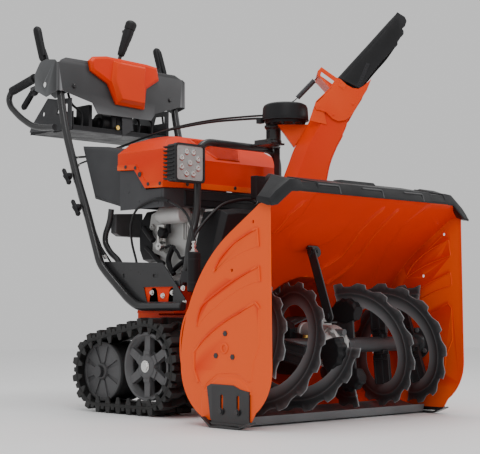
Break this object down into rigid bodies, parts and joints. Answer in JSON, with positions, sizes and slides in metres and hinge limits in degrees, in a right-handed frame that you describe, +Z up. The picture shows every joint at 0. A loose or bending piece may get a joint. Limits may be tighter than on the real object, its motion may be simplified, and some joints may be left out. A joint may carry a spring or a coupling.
{
  "type": "two stage snowblower",
  "caption": "Track-driven two stage snowblower with serrated augers, impeller, turning chute with tilting deflector, engine, console and lamp.",
  "frame": {"origin": "on the ground under the middle of the whole machine", "axes": "+X to the machine's left, -Y forwards (the way the housing opens), +Z up"},
  "size_m": [0.796, 1.3744, 1.252],
  "materials": {
    "orange_paint": "gloss orange powder coat",
    "black_paint": "satin black powder coat",
    "dark_grey_paint": "satin dark grey paint",
    "black_plastic": "textured black plastic",
    "grey_plastic": "moulded dark grey plastic",
    "track_rubber": "moulded rubber",
    "grip_rubber": "soft ribbed rubber",
    "cable_sheath": "smooth cable sheath",
    "zinc": "zinc plated",
    "aluminium": "as cast",
    "cast_iron": "dark casting",
    "brass": "yellow passivated",
    "lamp_black": "black anodised casting with clear lenses",
    "wheel_plastic": "moulded charcoal plastic"
  },
  "bodies": {
    "frame": {"auger_housing": "orange_paint", "side_plate_right": "orange_paint", "side_plate_left": "orange_paint", "housing_trim": "black_plastic", "scraper_bar": "dark_grey_paint", "auger_brace": "black_paint", "auger_gearcase": "aluminium", "auger_bearings": "dark_grey_paint", "fasteners": "zinc", "chute_ring": "black_plastic", "rotator_bracket": "black_paint", "rotator_cap": "black_plastic", "belt_cover": "black_plastic", "auger_belt": "track_rubber", "chassis": "orange_paint", "transmission": "aluminium", "engine_block": "aluminium", "carburettor": "aluminium", "discharge_housing": "orange_paint", "starter_motor": "zinc", "fuel_tank": "grey_plastic", "hood": "orange_paint", "engine_shroud": "grey_plastic", "guard_tube": "black_paint", "handle_tubes": "black_paint", "frame_brackets": "black_paint", "handle_loops": "black_paint", "handle_grips": "grip_rubber", "console_panel": "dark_grey_paint", "console_cover": "orange_paint", "console_tray": "black_plastic", "control_cables": "cable_sheath", "cable_fittings": "black_plastic"},
    "auger": {"auger_shaft": "dark_grey_paint", "auger_ribbons": "dark_grey_paint", "shear_bolts": "brass"},
    "impeller_rotor": {"impeller": "dark_grey_paint", "impeller_pulley": "cast_iron"},
    "crank": {"engine_pulley": "cast_iron"},
    "chute_body": {"chute": "orange_paint"},
    "deflector_body": {"deflector": "black_plastic", "deflector_cheeks": "orange_paint", "deflector_spring": "zinc"},
    "auger_clutch": {"auger_lever": "black_plastic"},
    "drive_clutch": {"drive_lever": "black_plastic"},
    "trigger_right": {"steering_trigger_right": "black_plastic"},
    "trigger_left": {"steering_trigger_left": "black_plastic"},
    "gimbal": {"joystick_gimbal": "black_paint"},
    "stick": {"joystick": "black_plastic"},
    "stick_trigger": {"joystick_trigger": "grey_plastic"},
    "lamp": {"lamp_head": "lamp_black"},
    "carriage": {"track_frame": "black_paint", "track_belts": "track_rubber"},
    "drive_wheel_right": {"sprocket_right": "wheel_plastic"},
    "drive_wheel_left": {"sprocket_left": "wheel_plastic"},
    "idler_wheel_right": {"idler_right": "wheel_plastic"},
    "idler_wheel_left": {"idler_left": "wheel_plastic"},
    "skid_right": {"skid_shoe_right": "black_paint"},
    "skid_left": {"skid_shoe_left": "black_paint"},
    "recoil": {"recoil_handle": "black_plastic"}
  },
  "joints": [
    {"name": "auger_spin", "type": "hinge", "parent": "frame", "child": "auger", "pos_m": [0, -0.5092, 0.199], "axis": [1, 0, 0], "continuous": true},
    {"name": "impeller_spin", "type": "hinge", "parent": "frame", "child": "impeller_rotor", "pos_m": [0, -0.2742, 0.235], "axis": [0, 1, 0], "continuous": true},
    {"name": "crank_spin", "type": "hinge", "parent": "frame", "child": "crank", "pos_m": [0, -0.1642, 0.47], "axis": [0, 1, 0], "continuous": true},
    {"name": "chute_swing", "type": "hinge", "parent": "frame", "child": "chute_body", "pos_m": [0.07, -0.2762, 0.58], "axis": [0, 0, 1], "range_deg": [-141, 49]},
    {"name": "deflector_tilt", "type": "hinge", "parent": "chute_body", "child": "deflector_body", "pos_m": [0.13618, -0.34011, 0.874], "axis": [0.6947, 0.7193, 0], "range_deg": [0, 50]},
    {"name": "auger_lever_press", "type": "hinge", "parent": "frame", "child": "auger_clutch", "pos_m": [-0.24, 0.4678, 1.06], "axis": [-1, 0, 0], "range_deg": [0, 55], "stiffness_Nm_per_rad": 0.6, "springref_deg": -17.19},
    {"name": "drive_lever_press", "type": "hinge", "parent": "frame", "child": "drive_clutch", "pos_m": [0.24, 0.4678, 1.06], "axis": [-1, 0, 0], "range_deg": [0, 55], "stiffness_Nm_per_rad": 0.6, "springref_deg": -17.19},
    {"name": "steer_right_press", "type": "hinge", "parent": "frame", "child": "trigger_right", "pos_m": [-0.231, 0.5498, 1.003], "axis": [1, 0, 0], "range_deg": [0, 14], "stiffness_Nm_per_rad": 0.4, "springref_deg": -17.19},
    {"name": "steer_left_press", "type": "hinge", "parent": "frame", "child": "trigger_left", "pos_m": [0.231, 0.5498, 1.003], "axis": [1, 0, 0], "range_deg": [0, 14], "stiffness_Nm_per_rad": 0.4, "springref_deg": -17.19},
    {"name": "stick_fore_aft", "type": "hinge", "parent": "frame", "child": "gimbal", "pos_m": [0.01, 0.4358, 1.06], "axis": [1, 0, 0], "range_deg": [-15, 15], "stiffness_Nm_per_rad": 1.5},
    {"name": "stick_side", "type": "hinge", "parent": "gimbal", "child": "stick", "pos_m": [0.01, 0.4358, 1.06], "axis": [0, 1, 0], "range_deg": [-15, 15], "stiffness_Nm_per_rad": 1.5},
    {"name": "stick_trigger_press", "type": "hinge", "parent": "stick", "child": "stick_trigger", "pos_m": [0.032, 0.4257, 1.2115], "axis": [1, 0, 0], "range_deg": [-6, 0], "stiffness_Nm_per_rad": 0.1, "springref_deg": 11.46},
    {"name": "lamp_tilt", "type": "hinge", "parent": "frame", "child": "lamp", "pos_m": [-0.178, -0.1822, 0.702], "axis": [1, 0, 0], "range_deg": [-15, 15]},
    {"name": "carriage_pitch", "type": "hinge", "parent": "frame", "child": "carriage", "pos_m": [0, -0.0842, 0.138], "axis": [1, 0, 0], "range_deg": [-5, 5]},
    {"name": "drive_right_spin", "type": "hinge", "parent": "frame", "child": "drive_wheel_right", "pos_m": [-0.225, -0.0842, 0.138], "axis": [1, 0, 0], "continuous": true},
    {"name": "drive_left_spin", "type": "hinge", "parent": "frame", "child": "drive_wheel_left", "pos_m": [0.225, -0.0842, 0.138], "axis": [1, 0, 0], "continuous": true},
    {"name": "idler_right_spin", "type": "hinge", "parent": "carriage", "child": "idler_wheel_right", "pos_m": [-0.225, 0.1348, 0.117], "axis": [1, 0, 0], "continuous": true},
    {"name": "idler_left_spin", "type": "hinge", "parent": "carriage", "child": "idler_wheel_left", "pos_m": [0.225, 0.1348, 0.117], "axis": [1, 0, 0], "continuous": true},
    {"name": "skid_right_adjust", "type": "slide", "parent": "frame", "child": "skid_right", "axis": [0, 0, -1], "range_m": [0, 0.036]},
    {"name": "skid_left_adjust", "type": "slide", "parent": "frame", "child": "skid_left", "axis": [0, 0, -1], "range_m": [0, 0.036]},
    {"name": "recoil_pull", "type": "slide", "parent": "frame", "child": "recoil", "axis": [0, 1, 0], "range_m": [0, 0.5], "stiffness_N_per_m": 20, "springref_m": -0.05}
  ],
  "couplings": [
    {"joint": "impeller_spin", "follows": "auger_spin", "ratio": 10},
    {"joint": "idler_right_spin", "follows": "drive_right_spin", "ratio": 1.236},
    {"joint": "idler_left_spin", "follows": "drive_left_spin", "ratio": 1.236}
  ]
}
